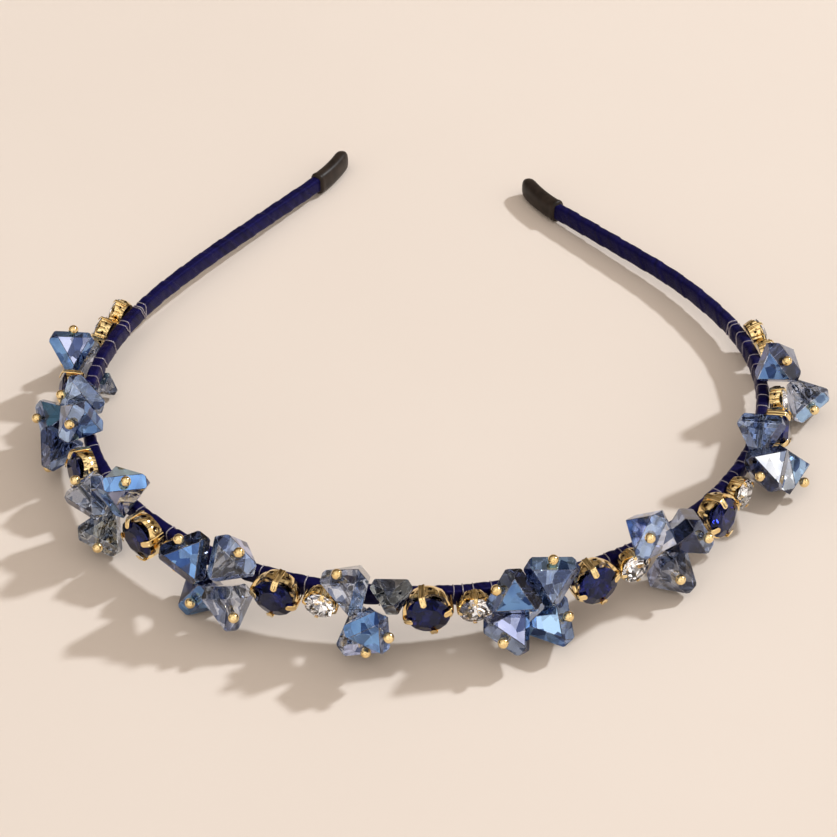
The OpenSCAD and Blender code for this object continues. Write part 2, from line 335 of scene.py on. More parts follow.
ribbon, n, l, b = shader("navy_satin", (0.008, 0.006, 0.05), Roughness=0.38, Sheen_Weight=0.02,
                         Specular_IOR_Level=0.16, Sheen_Roughness=0.3,
                         Sheen_Tint=(0.2, 0.16, 0.9, 1), Specular_Tint=(0.3, 0.26, 1, 1))
winding = node(n, "UVMap", uv_map="surface").outputs["UV"]
slow = pattern(n, l, "TexNoise", winding, Scale=3.0, Detail=4.0)
satin_tones = [(0.3, (0.002, 0.0015, 0.018)), (0.7, (0.006, 0.005, 0.06))]
l.new(ramp(n, l, slow.outputs["Fac"], satin_tones), b.inputs["Base Color"])
threads = pattern(n, l, "TexWave", winding, Scale=24.0, Distortion=1.2, Detail=2.0,
                  bands_direction="Y")
bump(n, l, b, threads.outputs["Fac"], strength=0.35, distance=0.00004)
print("material:", ribbon.name)

# %% [markdown]
# ## Gold plate
# Cups and beads are brass with a thin, pale gold plate. One colour and a low roughness could do,
# but plate is never quite even, so a fine noise shifts its tone and its height. The side holes are
# dents that the attribute `hole` turns dark with painted shade, as an open hole looks, because
# real ones would take many more faces.

# %% Gold
gold, n, l, b = shader("pale_gold", (0.95, 0.72, 0.4), Metallic=1.0, Roughness=0.08)
grain = pattern(n, l, "TexNoise", on_object(n), Scale=400.0, Detail=1.0)
gold_tones = [(0.3, (0.86, 0.62, 0.28)), (0.7, (0.98, 0.78, 0.42))]
tone = ramp(n, l, grain.outputs["Fac"], gold_tones)
# Painted shade: where the attribute hole is set, the gold turns nearly black, as in an open hole.
hole = node(n, "Attribute", attribute_name="hole")
painted_hole_shade = node(n, "Mix", data_type="RGBA")
l.new(hole.outputs["Fac"], painted_hole_shade.inputs["Factor"])
l.new(tone, painted_hole_shade.inputs["A"])
painted_hole_shade.inputs["B"].default_value = (0.03, 0.012, 0.006, 1)
l.new(painted_hole_shade.outputs["Result"], b.inputs["Base Color"])
bump(n, l, b, grain.outputs["Fac"], strength=0.06, distance=0.00004)
print("material:", gold.name)

# %% [markdown]
# ## Rubber and clear line
# The tips are matt, brown-black rubber, and the line that ties the stones on is clear, and pale
# lilac over the ribbon. Each could be one even colour, but that looks like plastic. One noise is
# enough for both: bumpy for the rubber, and smooth for the line.

# %% Rubber and line
def mottled(name, colour, tones, scale, detail, strength=0.0, distance=0.0, **values):
    """A finish with one noise: it picks the tone, and lifts the surface where strength is set."""
    m, n, l, b = shader(name, colour, **values)
    grain = pattern(n, l, "TexNoise", on_object(n), Scale=scale, Detail=detail)
    l.new(ramp(n, l, grain.outputs["Fac"], tones), b.inputs["Base Color"])
    if strength:
        bump(n, l, b, grain.outputs["Fac"], strength, distance)
    return m


rubber = mottled("black_rubber", (0.02, 0.014, 0.011),
                 [(0.3, (0.012, 0.008, 0.006)), (0.7, (0.03, 0.02, 0.015))], scale=500.0,
                 detail=5.0, strength=0.3, distance=0.00005, Roughness=0.42, Specular_IOR_Level=0.2)
line = mottled("clear_line", (0.7, 0.62, 0.72),
               [(0.35, (0.5, 0.42, 0.55)), (0.65, (0.82, 0.76, 0.84))], scale=700.0, detail=2.0,
               Roughness=0.2, Transmission_Weight=0.6, IOR=1.53)
print("materials:", rubber.name, line.name)

# %% [markdown]
# ## Coated glass
# The nuggets are grey glass with a thin mirror coat that turns blue, lilac or white with the
# angle. A thin film could be traced exactly, but which facet shines how depends on a room that
# isn't here. So each facet carries its own colour and strength of coat as attributes, partly the
# coat's tint and partly painted reflection, and the Metallic socket reads the strength: 0 is clear
# glass, 1 is a mirror. Slow patches and small stretched cells on top paint uneven shade, dark
# streaks and glints into each facet. The navy and the clear stones use the same recipe.

# %% Coated glass
PAINTED_PATCH_TONES = [(0.36, (0.5, 0.56, 0.7)), (0.6, (1, 1, 1))]
CELL_TURN, CELL_STRETCH = (0.6, 0.5, 0.3), (1.0, 0.3, 1.0)


def coated(name, cells, tones, thin, patch_share, **values):
    """Glass whose facets have a colour (attribute facet) and a coat (attribute coat). The colour is
    multiplied by slow patches of painted shade and by the tone of the cell, which paints dark
    streaks and glints. The mirror share is the coat times a strength that differs from cell to
    cell, from thin to 1."""
    m, n, l, b = shader(name, (0.5, 0.5, 0.5), **values)
    tint = node(n, "Attribute", attribute_name="facet")
    coat = node(n, "Attribute", attribute_name="coat")
    place = on_object(n)
    # Slow patches of painted shade: darkening the colour in places makes a facet's reflection
    # uneven.
    painted_patches = pattern(n, l, "TexNoise", place, Scale=220.0, Detail=1.0)
    # Stretched cells paint shards: dark streaks and glints, as refraction at inner edges would
    # make.
    stretch = pattern(n, l, "Mapping", place, Rotation=CELL_TURN, Scale=CELL_STRETCH)
    glint_shards = pattern(n, l, "TexVoronoi", stretch.outputs["Vector"], Scale=cells,
                    Randomness=1.0)
    cell = node(n, "SeparateColor")
    l.new(glint_shards.outputs["Color"], cell.inputs["Color"])
    patched = multiply(n, l, tint.outputs["Color"],
                       ramp(n, l, painted_patches.outputs["Fac"], PAINTED_PATCH_TONES), patch_share)
    colour = multiply(n, l, patched, ramp(n, l, cell.outputs["Red"], tones))
    l.new(colour, b.inputs["Base Color"])
    patch = node(n, "MapRange",
                 **{"From Min": 0.1, "From Max": 0.6, "To Min": thin, "To Max": 1.0})
    l.new(cell.outputs["Green"], patch.inputs["Value"])
    strength = node(n, "Math", operation="MULTIPLY")
    l.new(coat.outputs["Fac"], strength.inputs[0])
    l.new(patch.outputs["Result"], strength.inputs[1])
    l.new(strength.outputs["Value"], b.inputs["Metallic"])
    return m


# Tones of the cells: the dark stops paint dark streaks, the light ones leave the colour as it is.
nugget_tones = [(0.17, (0.13, 0.17, 0.28)), (0.3, (0.95, 0.95, 1)), (0.85, (1, 1, 1))]
navy_tones = [(0.25, (0.25, 0.25, 0.3)), (0.5, (1, 1, 1))]
clear_tones = [(0.04, (0.1, 0.1, 0.11)), (0.12, (0.95, 0.95, 0.96)), (0.9, (1, 1, 1))]
nugget_glass = coated("coated_glass", cells=560, tones=nugget_tones, thin=0.35, patch_share=0.7,
                      Roughness=0.03, IOR=1.52, Transmission_Weight=1.0)
navy_glass = coated("navy_glass", cells=560, tones=navy_tones, thin=0.8, patch_share=0.3,
                    Roughness=0.02, IOR=1.6, Transmission_Weight=1.0,
                    Specular_Tint=(0.4, 0.48, 1, 1))
clear_glass = coated("clear_glass", cells=900, tones=clear_tones, thin=0.9, patch_share=0.0,
                     Roughness=0.01, IOR=1.6, Transmission_Weight=1.0)
print("materials:", len(bpy.data.materials))

# %% [markdown]
# ## The ribbon
# One ribbon is wound round the core from end to end, each turn over the edge of the one before. It
# could be a long strip on a helix with a Solidify modifier, but its turns would cut each other.
# So the whole winding is one surface round the band. Its section is a rounded rectangle, and the
# edges of the ribbon advance 6.5 mm for each time round.

# %% The ribbon's values
# Where the line loops over the band: signed distances from the front, in mm.
LOOPS = [-134.6, -134.0, -133.5, -127.6, -127.0, -120.6, -115, -112, -108.6, -101, -98.4, -94, -89,
         -85.8, -76.5, -72, -69, -63.4, -54.8, -50.9, -46.8, -42, -38.4, -34.2, -25.6, -22.1, -18.6,
         -15.2, -12, -8.4, 0.8, 2.6, 4.8, 7.6, 10.8, 14.4, 18.2, 21.6, 30.4, 32.6, 34.4, 37, 41,
         45.4, 49.6, 59.2, 61.4, 64.8, 68.4, 72.6, 77.2, 87.6, 90.8, 94.2, 97.6, 101.6, 104.8,
         108.8, 112.2, 115.4, 116.1, 116.8]
PITCH, CORE_POWER, RING_STEP = 6.5, 5, 0.4
BASE, LIFT, EDGE_SHARE, LUMP = 0.02, 0.16, 0.06, 0.025
PINCH, PINCH_WIDTH = 0.12, 0.45
LUMP_RATE, DRIFT, DRIFT_RATE = 2.1, 1.3, 0.7


def section(thick, high, power, n=40):
    """n points [out, up] of a rounded rectangle: the sum of the two distances from its middle, in
    half widths and each to the power given, is 1. A high power makes its corners sharper."""
    w = angles(n)
    d = np.stack([np.cos(w), np.sin(w)], 1)
    reach = abs(d[:, 0] / (thick / 2)) ** power + abs(d[:, 1] / (high / 2)) ** power
    return d * (reach ** (-1 / power))[:, None]


def carried(s, rings):
    """Points [out, up] at each distance s, put round the middle of the band there."""
    mid, _, out = on_band(s)
    return mid[:, None] + rings[..., :1] * out[:, None] + rings[..., 1:] * UP


print("loops of line:", len(LOOPS))

# %% [markdown]
# ## Winding it
# Each edge shows as a small step that crosses the band at a slant, and where the clear line loops
# over the ribbon, it is pinched a little. A bump texture could draw both, but steps in the mesh
# also show along the outline. So the surface stands out by a term that rises sharply at an edge
# and then falls slowly until the next.

# %% Wind the ribbon
shape = section(BAND_T, BAND_H, CORE_POWER)
around = np.arange(len(shape)) / len(shape)
s = np.arange(-LEFT - 1, RIGHT + 1.01, RING_STEP)
turns = s[:, None] / PITCH + around[None, :]
left_of_turn = turns - np.floor(turns)
edge = np.clip(left_of_turn / EDGE_SHARE, 0, 1) * (1 - left_of_turn)
pinch = sum(np.exp(-((s - q) / PINCH_WIDTH) ** 2) for q in LOOPS)
lumps = LUMP * np.sin(s * LUMP_RATE + DRIFT * np.sin(s * DRIFT_RATE))
swell = BASE + LIFT * edge - (PINCH * np.clip(pinch, 0, 1))[:, None] + lumps[:, None]
unit = shape / np.linalg.norm(shape, axis=1)[:, None]
points = carried(s, shape[None] + unit[None] * swell[..., None])
m, n_round = points.shape[:2]
uv = np.stack([turns * 2, left_of_turn], 2).reshape(-1, 2)
wound = make("wound_ribbon", points.reshape(-1, 3), closed_faces(m, n_round), ribbon,
             "navy_ribbon", ["band"], True, uv=uv)
print("ribbon:", len(wound.data.polygons), "faces")

# %% [markdown]
# ## The rubber tips
# A moulded sleeve covers each end of the band and spares the skin. A cube with a Bevel and a
# Subdivision Surface would do, but would have to be bent to the band. Here a rounded rectangle is
# carried along the band, shrinks along a quarter circle at the closed end and has a thin lip at
# the mouth.

# %% Build the tips
TIP_T, TIP_H, TIP_POWER = 3.4, 5.0, 2.8
ROUND, ROUND_START, MOUTH_BACK, MOUTH_SIZE = 2.9, 1.2, 0.15, 0.94
LIP, LIP_AT, LIP_WIDTH = 0.12, 0.4, 0.45


def rubber_tip(name, side, leg):
    """Rings along the end of one leg. In the round end their size falls with the square root of
    one minus the square of the distance. The lip is a bell curve just behind the mouth."""
    shape = section(TIP_T, TIP_H, TIP_POWER, 32)
    turn_in = leg + TIP_LENGTH - ROUND_START
    q = np.r_[np.linspace(leg - MOUTH_BACK, turn_in, 30),
              turn_in + ROUND * np.sin(np.radians(np.arange(8, 90, 8)))]
    past = np.clip(q - turn_in, 0, None) / (ROUND + 0.02)
    shrink = np.sqrt(np.clip(1 - past ** 2, 0.0, 1))
    lip = LIP * np.exp(-((q - leg - LIP_AT) / LIP_WIDTH) ** 2)
    mouth = np.where(q < leg, MOUTH_SIZE, 1.0)
    size_out = shrink * mouth + lip / (TIP_T / 2)
    size_up = (1 - (1 - shrink) * TIP_T / TIP_H) * mouth + lip / (TIP_H / 2)
    size = np.stack([size_out, size_up], 1)
    points = carried(side * q, shape[None] * size[:, None])
    faces = closed_faces(*points.shape[:2])
    if side < 0:
        faces = [f[::-1] for f in faces]
    return make(f"{name}_rubber", points.reshape(-1, 3), faces, rubber, "rubber", [name], True)


tips = [rubber_tip("tip_left", -1, LEFT), rubber_tip("tip_right", 1, RIGHT)]
print("tips:", [t.name for t in tips])

# %% [markdown]
# ## Grinding a stone
# A real stone is sawn roughly, and then each facet is ground flat on a wheel. It could be
# sculpted, but would never get such flat facets and straight edges, so it is ground here too. It
# starts as a block. A facet is a direction and a distance from the middle: what lies beyond its
# plane is cut off, and the cut is closed.

# %% Grinding tool
SAME_WAY = 0.9995


def grind(facets, size, soften):
    """Points, faces and facet numbers of a block of half width size, cut by the planes
    (direction, distance): a point is kept while its part along the direction is no more than the
    distance. soften bevels the edges, and a bevel's number is -1."""
    facets = [(Vector(direction).normalized(), distance) for direction, distance in facets]
    bm = bmesh.new()
    bmesh.ops.create_cube(bm, size=2 * size)
    for d, distance in facets:
        whole = bm.verts[:] + bm.edges[:] + bm.faces[:]
        cut = bmesh.ops.bisect_plane(bm, geom=whole, plane_co=d * distance, plane_no=d,
                                     clear_outer=True, dist=1e-6)
        rim = [e for e in cut["geom_cut"] if isinstance(e, bmesh.types.BMEdge)]
        if rim:
            bmesh.ops.contextual_create(bm, geom=rim)
    bmesh.ops.recalc_face_normals(bm, faces=bm.faces[:])
    if soften:
        bmesh.ops.bevel(bm, geom=bm.edges[:], offset=soften, segments=1, affect="EDGES",
                        profile=0.5)
    bm.verts.index_update()
    numbers = []
    for f in bm.faces:
        match = [d.dot(f.normal) for d, _ in facets]
        best = max(range(len(facets)), key=match.__getitem__)
        numbers.append(best if match[best] > SAME_WAY else -1)
    points = np.array([v.co[:] for v in bm.verts])
    faces = [[v.index for v in f.verts] for f in bm.faces]
    bm.free()
    return points, faces, np.array(numbers)


def grey(values):
    """A row [value, value, value, 1] for each value, as a colour attribute holds it."""
    values = np.asarray(values, float)
    return np.stack([values, values, values, np.ones(len(values))], 1)


def facet_colours(looks):
    """The two attributes of a stone, from the (colour, coat) of each of its faces."""
    return {"facet": np.array([(*colour, 1) for colour, _ in looks]),
            "coat": grey([coat for _, coat in looks])}


print("a cube with one corner off:", len(grind([((1, 1, 1), 1.5)], 1, 0)[1]), "faces")

# %% [markdown]
# ## The glass nuggets
# The nuggets are cut glass cubes, mostly 6 to 7 mm wide, and hang in clusters, in every turn. They
# could be scattered at random, but the photograph shows where each one is. So each has a row in a
# table, and one ground cube is copied to all rows.

# %% Where the nuggets hang
# Distance along the band, out and up from it in mm. The bore's tip from outward (0) to upward
# (90), its lean along the band and the spin round it, in degrees. The half width, whether a bead
# shows, and the letters of the facets' coats and painted reflections, from the one that faces the
# viewer most (the last letter is for all others).
Nugget = namedtuple("Nugget", "at out up tip lean spin half bead coats")
NUGGETS = {name: Nugget(*row) for name, *row in [
    ("a1", -113.2, 5.3, 4.3, 100, -15, 70, 3.3, 1, "lbbbs"),
    ("a2", -118.5, 5.9, -1.6, 0, 60, 80, 3.1, 1, "gwggg"),
    ("a3", -112.3, -1.3, -3.8, 90, 0, -45, 1.8, 0, "tgggg"),
    ("b1", -96.2, 0.4, 5.5, 25, 10, 60, 3.4, 1, "sscs"),
    ("b2", -97.7, 6.3, -0.7, 30, 20, 120, 3.3, 1, "nwsss"),
    ("b3", -88.7, 1.8, 6, 45, 50, 60, 3.4, 1, "sbsbd"),
    ("b4", -90.2, 6.4, -1.5, -55, 10, 160, 3.3, 1, "dlsss"),
    ("c1", -71.3, 5.7, 2.4, 60, -30, 20, 3.3, 1, "gsggg"),
    ("c2", -65.7, 2.2, 6.3, 85, 35, 20, 3.6, 1, "blctsd"),
    ("c3", -68.7, 5.9, -4.6, 0, 50, 100, 3.4, 1, "ogggo"),
    ("d1", -45.4, 6, 5, 75, -10, 0, 3.5, 1, "bsdddd"),
    ("d2", -38.3, 3.3, 5.3, 70, 35, 120, 3.5, 1, "kscdlg"),
    ("d3", -44.8, 3.7, -5.5, 10, 5, 10, 3.5, 1, "bdbdd"),
    ("d4", -37.2, 7.1, -1.8, 5, 40, 40, 3.4, 1, "ggwggg"),
    ("e1", -16.7, 3.6, 5.1, 70, -25, 130, 3.5, 1, "ggwwgg"),
    ("e2", -12.5, 9.5, 0.9, 10, 55, 50, 3.2, 1, "bbgss"),
    ("e3", -14.7, 5.8, -4.7, 0, 20, 130, 3.4, 1, "glggg"),
    ("e4", -9.7, 4.1, 4, 60, 40, 0, 2.7, 0, "ogogo"),
    ("f1", 10.5, 5.8, 4.7, 60, -50, 170, 3.5, 1, "bsdsd"),
    ("f2", 17.5, 4.1, 5.2, 80, 0, 120, 3.6, 1, "scdss"),
    ("f3", 9.5, 7.2, -2.7, 10, -25, 100, 3.5, 1, "lsdbd"),
    ("f4", 17.4, 6.1, -4.2, 50, 25, 40, 3.5, 1, "csbss"),
    ("g1", 36.8, 4, 7.2, 40, -35, 0, 3.6, 1, "sels"),
    ("g2", 44.8, 4.8, 3.5, 15, 10, 70, 3.5, 1, "ddsdsd"),
    ("g3", 41.4, 5, -3.6, 20, -20, 80, 3.5, 1, "ggggllg"),
    ("h1", 68.4, 5.4, 3, 75, -75, 25, 3.4, 1, "wdsdd"),
    ("h2", 74.2, 7.2, -1.6, -20, -5, 140, 3.5, 1, "wcdsd"),
    ("h3", 75, 1.5, 5.3, 90, 0, 60, 3.3, 0, "ssdss"),
    ("i1", 93.6, 8.9, -1.1, 35, -70, 140, 3.3, 1, "gcgeg"),
    ("j1", 95.4, 2.7, 6.5, 70, -45, 10, 3.5, 1, "dbsdd"),
]}
BLUE = "a1 b3 c2 d1 d3 e2 f1 f4".split()
CLEAR_GREY = "a2 c1 c3 d4 e1 e3 e4 i1".split()
print("nuggets in the table:", len(NUGGETS))

# %% [markdown]
# ## The colours of the facets
# A real nugget shows a blue, a white and a nearly black facet side by side, as its coat mirrors
# the room. One colour for all would look like plastic, and random ones would put the bright facets
# in the wrong places. So the reflections are painted: a small palette is given out by letters, one
# for each facet that shows.

# %% Their coats
# Colour of a facet, and the strength of its mirror coat: partly the coat's own tint, and partly a
# painted reflection, as the white, pale and dark letters go to facets by what they would mirror.
COATS_AND_REFLECTIONS = {
    "b": ((0.25, 0.52, 1.0), 0.75),  # blue
    "l": ((0.6, 0.68, 1.0), 0.8),  # lilac
    "w": ((0.85, 0.92, 1.0), 0.95),  # white
    "s": ((0.48, 0.62, 0.88), 0.42),  # smoke blue
    "d": ((0.07, 0.1, 0.24), 0.2),  # deep navy
    "g": ((0.76, 0.81, 0.9), 0.2),  # clear grey
    "t": ((0.25, 0.48, 0.6), 0.65),  # teal
    "o": ((0.5, 0.52, 0.48), 0.2),  # olive grey
    # The pale edge colour is a painted edge highlight, on the bevels and on some facets.
    "e": ((0.82, 0.88, 1.0), 0.75),  # pale edge
    "c": ((0.42, 0.66, 0.98), 0.85),  # cyan
    "n": ((0.03, 0.11, 0.18), 0.6),  # petrol
    "k": ((0.3, 0.33, 0.36), 0.15),  # dark grey
}
BEVEL, BORE = -1, -2
WEAK_COAT = 0.1
print("coats:", len(COATS_AND_REFLECTIONS))

# %% [markdown]
# ## One nugget
# It is a cube with four corners cut deep and four just nicked, slightly worn edges and a bore for
# the line. It could be modelled face by face. Grinding needs fourteen planes instead, and gives
# the triangles where the deep cuts meet the sides, by which the eye knows these stones.

# %% Grind one nugget
SLABS = [(1, 0, 0), (-1, 0, 0), (0, 1, 0), (0, -1, 0), (0, 0, 1), (0, 0, -1)]
DEEP = [(1, 1, -1), (1, -1, 1), (-1, 1, 1), (-1, -1, -1)]
SHALLOW = [(-1, -1, 1), (-1, 1, -1), (1, -1, -1), (1, 1, 1)]
DEEP_CUT, SHALLOW_CUT, SOFT_EDGE = 1.57 / math.sqrt(3), 2.6 / math.sqrt(3), 0.025
BORE_RADIUS, BIT = 0.16, 1.5
cube_facets = ([(d, 1.0) for d in SLABS] + [(d, DEEP_CUT) for d in DEEP]
               + [(d, SHALLOW_CUT) for d in SHALLOW])


def drill(points, faces, numbers, radius):
    """The same solid less a round bar along Z, by a Boolean modifier. The facet numbers go
    through it as an attribute, and the wall of the bore gets its own number."""
    body = new_object("block", points, faces)
    mark = body.data.attributes.new("facet_number", "INT", "FACE")
    mark.data.foreach_set("value", numbers.astype(np.int32))
    bar = tube([(0, 0, -BIT), (0, 0, 0), (0, 0, BIT)], radius, 16, side_axis=(1, 0, 0))
    bit = new_object("bit", *bar)
    cut = body.modifiers.new("bore", "BOOLEAN")
    cut.object, cut.operation, cut.solver = bit, "DIFFERENCE", "EXACT"
    made = body.evaluated_get(bpy.context.evaluated_depsgraph_get()).to_mesh()
    p = np.array([v.co[:] for v in made.vertices])
    f = [list(face.vertices) for face in made.polygons]
    numbers = np.array([d.value for d in made.attributes["facet_number"].data])
    inside = [np.hypot(*p[face][:, :2].mean(0)) < radius and len(face) == 4 for face in f]
    numbers[inside] = BORE
    for o in (body, bit):
        bpy.data.objects.remove(o)
    return p, f, numbers


cube_points, cube_faces, cube_numbers = drill(*grind(cube_facets, 1.0, SOFT_EDGE), BORE_RADIUS)
print("one nugget:", len(cube_faces), "faces")

# %% [markdown]
# ## Hanging the nuggets
# The line pulls each nugget against the ribbon in a turn of its own. A physics run could let them
# settle, but not as in the photograph. So the table's three angles turn each one, and the facets
# that then face the viewer get the row's letters, in order, with their painted reflections.

# %% Hang them on the band
# The way from the headband to the viewer, in the plane of the band. It picks the facets that get
# the painted reflections.
VIEW = np.array([-0.04, -0.77, 0.64])
SLAB_WEIGHT, DEEP_WEIGHT, SHALLOW_WEIGHT = 0.9, 1.0, 0.12
facet_dirs = np.array([np.array(d) / np.linalg.norm(d) for d, _ in cube_facets])
facet_weight = np.array([SLAB_WEIGHT] * 6 + [DEEP_WEIGHT] * 4 + [SHALLOW_WEIGHT] * 4)


def heading_at(along):
    """Heading of the band in degrees, from its direction."""
    return math.degrees(math.atan2(along[0, 1], along[0, 0]))


def nugget_turn(row):
    """Middle and turn of one nugget. The middle is the band's, plus out times outward and up
    times up. The turn is spin round the bore, then lean, then tip, then the band's heading."""
    mid, along, outward = on_band(row.at)
    r = (turn("z", heading_at(along)) @ turn("x", 90 - row.tip) @ turn("y", row.lean)
         @ turn("z", row.spin))
    return mid[0] + row.out * outward[0] + row.up * UP, r


def nugget_looks(row, r):
    """(colour, coat) of each face: the row's letters, with their painted reflections. The facets
    are
    ranked by how much of them shows: the part of their direction towards the viewer, times a weight
    for their size. The bevels get a painted edge highlight."""
    rank = np.argsort(-(facet_dirs @ r.T @ VIEW) * facet_weight)
    looks = {k: COATS_AND_REFLECTIONS[row.coats[min(i, len(row.coats) - 1)]] for i, k in enumerate(rank)}
    # Painted highlight: the bevels get the pale edge colour.
    looks[BEVEL] = (COATS_AND_REFLECTIONS["e"][0], WEAK_COAT)
    looks[BORE] = (COATS_AND_REFLECTIONS["o"][0], WEAK_COAT)
    return [looks[k] for k in cube_numbers]


nuggets = []
for name, row in NUGGETS.items():
    centre, r = nugget_turn(row)
    slot = "blue_glass" if name in BLUE else "smoke_glass"
    if name in CLEAR_GREY:
        slot = "clear_grey_glass"
    nuggets.append(make(f"nugget_{name}_cut", cube_points * row.half @ r.T + centre, cube_faces,
                        nugget_glass, slot, [f"nugget_{name}"],
                        colours=facet_colours(nugget_looks(row, r))))
print("nuggets:", len(nuggets), "pieces")

# %% [markdown]
# ## The cut stones
# Eight navy and ten clear round stones sit along the band, each in its cup, and look outward or a
# little up. An Array modifier on a curve could place them, but their steps and lifts differ. So
# each has a row here too, which its cup shares.

# %% Where the stones sit
# Distance along the band in mm, lift from outward to upward, and turn of the claws in degrees.
Seat = namedtuple("Seat", "at lift claws")
NAVY = [Seat(*row) for row in [
    (-105, 5, 10), (-81, 5, 10), (-59, 0, 20), (-30, 0, -10), (-3.5, 0, 15), (26, 5, 15),
    (54.5, 10, 10), (83, 5, 10)]]
CLEAR = [Seat(*row) for row in [
    (-131, 10, 0), (-124.2, 10, 15), (-51, -5, 10), (-22, -5, -15), (4.5, -5, 0), (34, 5, 10),
    (62.5, 5, 10), (91, 10, 0), (105.5, 15, 0), (112.2, 15, 15)]]
GAP, HEIGHT_SHARE = 0.2, 0.4


def seat_height(lift):
    """From the middle of the band to the foot of a cup: half the band's thickness times the
    cosine of the lift, plus a share of its height times the sine, plus a gap."""
    a = math.radians(lift)
    return BAND_T / 2 * math.cos(a) + HEIGHT_SHARE * BAND_H * abs(math.sin(a)) + GAP


def tie_on(name, ending, seats, solid, spins, height, material, slot, colours, together, smooth):
    """Copies of one solid at its seats: spun round its own axis, raised by the seat and the
    height, turned by the lift and the band's heading, and moved to the middle of the band. They
    are one piece each, or together one piece for the node that holds them all."""
    points, faces = solid
    placed = []
    for seat, spin in zip(seats, spins):
        mid, along, _ = on_band(seat.at)
        raised = points @ turn("z", spin).T + (seat_height(seat.lift) + height) * UP
        r = turn("z", heading_at(along)) @ turn("x", 90 - seat.lift)
        placed.append(raised @ r.T + mid[0])
    if together:
        p, f = joined([(p, faces) for p in placed])
        tiled = {key: np.tile(values, (len(seats), 1)) for key, values in colours.items()}
        return [make(f"{name}_{ending}", p, f, material, slot, [name], smooth, colours=tiled)]
    return [make(f"{name}_{i + 1}_{ending}", p, faces, material, slot, [f"{name}_{i + 1}"],
                 smooth, colours=colours) for i, p in enumerate(placed)]


print("seats:", len(NAVY), "navy,", len(CLEAR), "clear")

# %% [markdown]
# ## Cutting the stones
# They have the classic round cut: a table, eight stars round it, eight kites, sixteen upper girdle
# facets, a thin girdle, and a point below of eight mains and sixteen lower facets. A cone with
# sixteen sides would look right from far away only. All are ground here, because their small
# differences of angle make a stone sparkle. The point of a real one is foiled, so here it is a
# mirror under clear or navy glass.

# %% Cut and set the stones
MAIN_TILT, LOWER_TILT = -49, -46.5
FIRST_SPIN, ABOVE_RIM, BLOCK = 9, 0.1, 6.0


def brilliant(r, table, crown, girdle, depth):
    """Planes of the round cut and the kind of each. z is 0 at the girdle's lower edge. A facet
    is a direction and a point that it goes through, so its distance is their dot product. Mains
    at 41 degrees to the girdle send light back out of the top."""
    top = girdle + crown
    kite = math.degrees(math.atan2(r - table, crown))
    planes, kinds = [((0, 0, 1), top), ((0, 0, -1), depth)], ["table", "point"]
    # Count, tilt above level, turn of the first one, and the point it goes through (out, up).
    for count, tilt, start, out, up, kind in [
            (8, kite, 0, r * 0.985, girdle, "crown"),
            (8, kite + 16, 22.5, table * 0.985, top, "crown"),
            (16, kite - 9, 11.25, r, girdle * 0.9, "crown"),
            (16, 0, 11.25, r * 0.99, 0, "girdle"),
            (8, MAIN_TILT, 0, r * 0.98, 0, "foil"),
            (16, LOWER_TILT, 11.25, r * 0.99, 0, "foil")]:
        for k in range(count):
            a, e = math.radians(start + 360 * k / count), math.radians(tilt)
            d = np.array([math.cos(e) * math.cos(a), math.cos(e) * math.sin(a), math.sin(e)])
            through = np.array([out * math.cos(a), out * math.sin(a), up])
            planes.append((tuple(d), float(d @ through)))
            kinds.append(kind)
    return planes, kinds


def stones(name, seats, sizes, cup_height, step, looks, material, slot, together):
    """Stones of one size, each spun a step further than the one before."""
    planes, kinds = brilliant(**sizes)
    points, faces, numbers = grind(planes, BLOCK, 0)
    spins = [step * i + FIRST_SPIN for i in range(len(seats))]
    return tie_on(name, "cut", seats, (points, faces), spins, cup_height + ABOVE_RIM, material,
                  slot, facet_colours([looks[kinds[k]] for k in numbers]), together, False)


foil, pale = ((0.4, 0.48, 0.95), 1), ((0.97, 0.97, 0.99), 0)
navy_looks = dict(table=((0.05, 0.056, 0.17), 0), crown=((0.038, 0.045, 0.16), 0),
                  girdle=((0.02, 0.02, 0.07), 0), foil=foil, point=foil)
foil = ((0.96, 0.97, 0.98), 1)
clear_looks = dict(table=pale, crown=pale, girdle=((0.9, 0.9, 0.92), 0), foil=foil, point=foil)
NAVY_CUP_H, CLEAR_CUP_H = 3.3, 2.5
cut = stones("navy_stone", NAVY, dict(r=3.9, table=2.2, crown=0.85, girdle=0.3, depth=2.7),
             NAVY_CUP_H, 17, navy_looks, navy_glass, "navy_glass", together=False)
cut += stones("clear_stones", CLEAR, dict(r=2.9, table=1.6, crown=0.65, girdle=0.2, depth=2.1),
              CLEAR_CUP_H, 31, clear_looks, clear_glass, "clear_stone", together=True)
print("stones:", len(cut), "pieces")

# %% [markdown]
# ## The gold cups
# A cup is pressed from thin brass sheet: a wall with a few narrow folds, small side holes for the
# line, and a rim that dips between the claws. It could be a cylinder with inset and bevelled
# faces. Here the wall is a surface of revolution whose radius and height depend on the angle,
# because folds, dips and holes are then three short terms of one formula.

# %% Press the wall
# FOLD_DEPTH is for a cup of this radius. FOOT, RIM_DIP, HOLE_RADIUS and HOLE_LEVEL are shares of
# a cup's radius or height.
CUP_RADIUS, SIDES, HOLES = 4.5, 96, 8
WALL_IN, FOLD_DEPTH, FOLD_WIDTH, RIM_DIP, FOOT = 0.05, 0.34, 0.5, 0.24, 0.86
HOLE_RADIUS, HOLE_LEVEL, HOLE_DEPTH, HOLE_MARK = 0.085, 0.42, 0.25, 0.15


